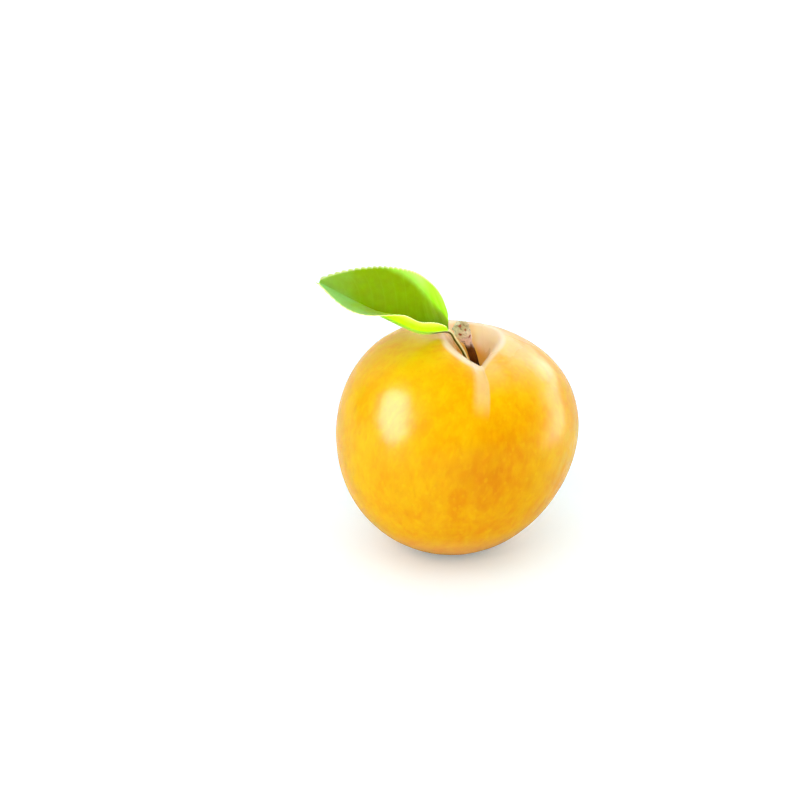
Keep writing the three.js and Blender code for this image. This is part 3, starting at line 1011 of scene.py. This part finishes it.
def makeLeafStalkSkin(look):
    material, tree, shader = startMaterial("leafStalkSkin", **{"Roughness": 0.45, "IOR": 1.45})
    place = addNode(tree, "ShaderNodeTexCoord").outputs["Object"]
    along = numberOf(tree, "along")
    streak = noiseOver(tree, place, look["streakScale"], detail=3) - 0.5
    toLeft = numberOf(tree, "toLeft") + streak * 0.3
    # painted shade: olive along the leaf-stalk's lower left side
    shadedSide = toLeft.smooth(-0.3, -0.1) * toLeft.smooth(0.6, 0.8, 1.0, 0.0)
    color = blended(tree, shadedSide, look["stalkCream"], look["stalkShadeOlive"])
    color = blended(tree, along.smooth(0.27, 0.4), color, look["limePale"])
    feed(tree, shader.inputs["Base Color"], color)
    addBump(tree, shader, streak, look["streakDepth"])
    return material


leafGreen = makeLeafGreen(leafLook)
leafBlade = bpy.data.objects.new("leafBlade", makeBladeMesh(bladeShape))
leafBlade.data.materials.append(leafGreen)
scene.collection.objects.link(leafBlade)
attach(leafBlade, "root")
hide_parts("leaf")

baseFar, baseNear = foldAngles(bladeShape, np.zeros(1))
belowBlade = rising((baseFar + baseNear) / 2)[0] * -midribSink
midribLine = np.vstack([leafStalkRoute, midribRoute + belowBlade])
midribLine = routeMesh("midribLine", smoothRoute(midribLine, np.linspace(0, 1, 120)))
midribTree = makeMidribTree(midribShape, makeLeafStalkSkin(leafLook))
leafMidrib = growPiece("leafMidrib", midribTree, midribShape, midribLine)
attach(leafMidrib, "root")
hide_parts("leaf")
print("leaf done")


# Plain white surroundings and soft lights.
stageLook = {
    "floorSize": 12.0,
    "floorColor": (0.92, 0.95, 0.962, 1),
    "floorLift": 0.24,  # overexposes the floor a little, for the camera alone
    "liftColor": (0.34, 0.8, 1.0, 1),  # takes back some of the fruit's warm light
    "mirroredInFront": (0.06, 0.06, 0.06, 1),  # the floor as the gloss shows it
    "mirroredBehind": (0.8, 0.78, 0.75, 1),
    "mirrorTurns": (-30 * mm, 20 * mm),  # from front to back, where the one passes into the other
    "backdrop": 1.0,
}


def makeFloor(look):
    half = look["floorSize"] / 2
    mesh = bpy.data.meshes.new("floor")
    corners = [(-half, -half, 0), (half, -half, 0), (half, half, 0), (-half, half, 0)]
    mesh.from_pydata(corners, [], [(0, 1, 2, 3)])
    floor = bpy.data.objects.new("floor", mesh)
    scene.collection.objects.link(floor)
    settings = {"Roughness": 0.7, "Specular IOR Level": 0.2, "Emission Color": look["liftColor"]}
    material, tree, shader = startMaterial("floorPaper", **settings)
    rays = addNode(tree, "ShaderNodeLightPath").outputs
    depth = splitXyz(tree, addNode(tree, "ShaderNodeNewGeometry").outputs["Position"])[1]
    share = depth.smooth(*look["mirrorTurns"])
    mirrored = blended(tree, share, look["mirroredInFront"], look["mirroredBehind"])
    color = blended(tree, rays["Is Glossy Ray"], look["floorColor"], mirrored)
    feed(tree, shader.inputs["Base Color"], color)
    feed(tree, shader.inputs["Emission Strength"], Field(tree, rays["Is Camera Ray"]) * look["floorLift"])
    floor.data.materials.append(material)


def makeBackdrop(look):
    # white behind the fruit, for the camera alone
    world = bpy.data.worlds.new("studio")
    scene.world = world
    world.use_nodes = True
    tree = world.node_tree
    isCamera = Field(tree, addNode(tree, "ShaderNodeLightPath").outputs["Is Camera Ray"])
    feed(tree, tree.nodes["Background"].inputs["Strength"], look["backdrop"] * isCamera)
    tree.nodes["Background"].inputs["Color"].default_value = (1, 1, 1, 1)


glossPanels = {
    # towards: degrees to the right of the front, and degrees up; away and size are in metres
    "leftWindow": {"towards": (-64, 23), "away": 0.3, "size": (0.18, 0.28), "brightness": 17.0,
                   "roll": 30, "shape": "ELLIPSE"},
    "rightWindow": {"towards": (99, 4), "away": 0.12, "size": (0.05, 0.1), "brightness": 6.0,
                    "roll": -38},
    "rightWindowTop": {"towards": (131, 21), "away": 0.12, "size": (0.05, 0.04), "brightness": 5.0},
    "behind": {"towards": (180, 30), "away": 0.9, "size": (2.6, 1.0), "brightness": 0.8},
    "backPanel": {"towards": (165, 22), "away": 0.8, "size": (0.7, 0.5), "brightness": 1.6},
}
panelTint = (1.0, 0.9, 1.0)

evenLights = {
    "softSun": {"towards": (-8, 52), "strength": 1.0, "spread": 70},
    "sky": {"towards": (0, 90), "strength": 2.5, "spread": 180},
}


def addLight(name, kind, direction, roll=0):
    # a light that shines on the fruit from that direction; gives the direction too, as a unit vector
    light = bpy.data.objects.new(name, bpy.data.lights.new(name, kind))
    scene.collection.objects.link(light)
    turn, rise = (math.radians(angle) for angle in direction)
    ahead = math.cos(rise)
    towards = Vector((math.sin(turn) * ahead, -math.cos(turn) * ahead, math.sin(rise)))
    light.rotation_mode = "QUATERNION"
    facing = (-towards).to_track_quat("-Z", "Y")
    light.rotation_quaternion = facing @ Quaternion((0, 0, 1), math.radians(roll))
    return light, towards


def addGlossPanel(name, panel):
    # a soft box that is seen in the gloss alone; the two even lights do the lighting
    light, towards = addLight(name, "AREA", panel["towards"], panel.get("roll", 0))
    width, height = panel["size"]
    light.location = Vector((0, 0, restingHeight)) + towards * panel["away"]
    light.data.color = panelTint
    light.data.shape = panel.get("shape", "RECTANGLE")
    light.data.size = width
    light.data.size_y = height
    light.data.energy = panel["brightness"] * math.pi * width * height
    light.visible_diffuse = False
    light.visible_camera = False


def addEvenLight(name, look):
    # light for the floor and the fruit, with no highlight of its own
    light, _ = addLight(name, "SUN", look["towards"])
    light.data.energy = look["strength"]
    light.data.angle = math.radians(look["spread"])
    light.data.cycles.use_multiple_importance_sampling = False
    light.visible_glossy = False


makeFloor(stageLook)
makeBackdrop(stageLook)
for name, panel in glossPanels.items():
    addGlossPanel(name, panel)
for name, look in evenLights.items():
    addEvenLight(name, look)
scene.view_settings.view_transform = "Standard"
print("stage done")
